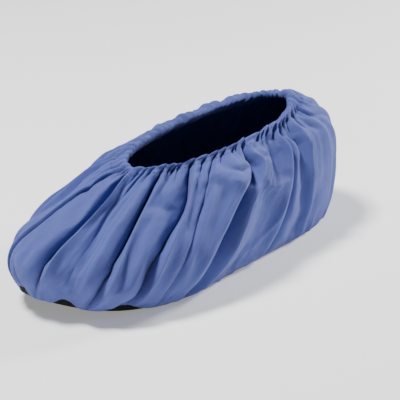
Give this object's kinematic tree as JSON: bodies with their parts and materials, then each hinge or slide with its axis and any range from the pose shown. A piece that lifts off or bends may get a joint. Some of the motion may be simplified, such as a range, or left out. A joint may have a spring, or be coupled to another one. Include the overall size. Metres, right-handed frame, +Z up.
{
  "type": "shoe cover",
  "caption": "Washable cloth cover that goes over a shoe: gathered pleated upper, elastic hem round the ankle opening, toe seam and black grip sole.",
  "frame": {"origin": "middle of the part's box, on the ground plane under the sole", "axes": "+Z up from the sole, +X along the part from the toe to the heel, -Y to the wearer's outer side"},
  "size_m": [0.3232, 0.1476, 0.1063],
  "materials": {
    "upper_cloth": "matt woven blue cloth",
    "hem_cloth": "matt woven blue cloth",
    "elastic": "knitted white band",
    "grip_sole": "matt black sheet"
  },
  "bodies": {
    "root": {"upper": "upper_cloth", "hem_casing": "hem_cloth", "hem_elastic": "elastic", "sole": "grip_sole"}
  },
  "joints": []
}
